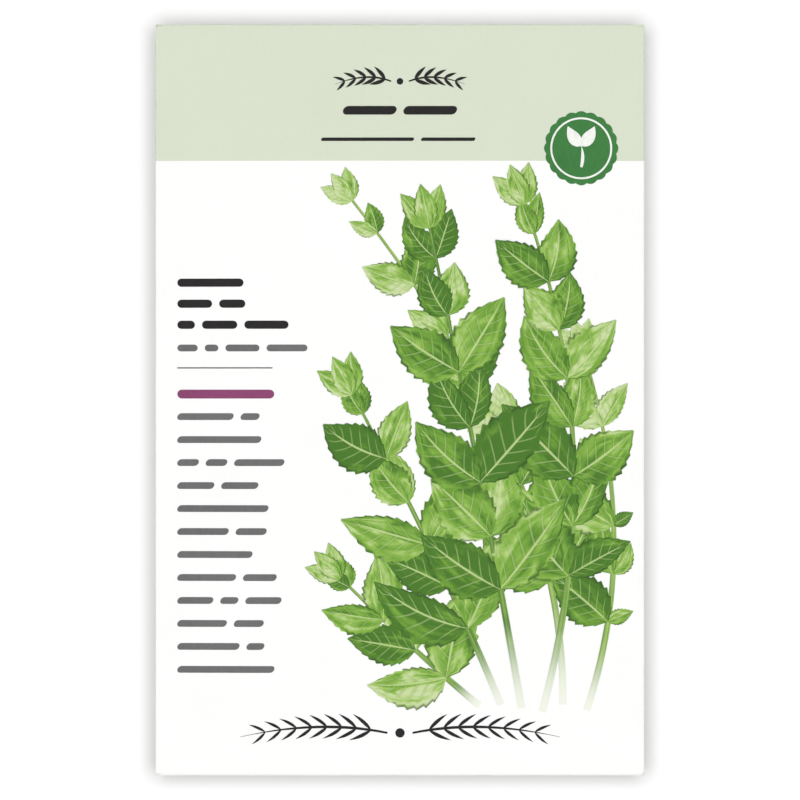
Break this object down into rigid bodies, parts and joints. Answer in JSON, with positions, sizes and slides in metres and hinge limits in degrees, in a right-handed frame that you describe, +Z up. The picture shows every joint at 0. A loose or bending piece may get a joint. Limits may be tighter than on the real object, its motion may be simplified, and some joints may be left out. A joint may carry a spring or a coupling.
{
  "type": "seed packet",
  "caption": "Sealed flat paper seed packet, folded from one sheet with a glued side seam, bottom flap and top flap, gently pillowed over loose herb seeds.",
  "frame": {"origin": "on the surface the packet rests on, under the middle of its outline", "axes": "+Z up, out of the printed front; +Y towards the packet's top edge; +X towards the front's right side"},
  "size_m": [0.0826, 0.127, 0.004],
  "materials": {
    "paper": "smooth white coated paper, satin",
    "glue": "dried clear adhesive",
    "seed_husk": "dry ribbed husk, matte"
  },
  "bodies": {
    "root": {"paper_packet": "paper", "side_seam_glue": "glue", "bottom_flap_glue": "glue", "top_flap_glue": "glue", "seeds": "seed_husk"}
  },
  "joints": []
}
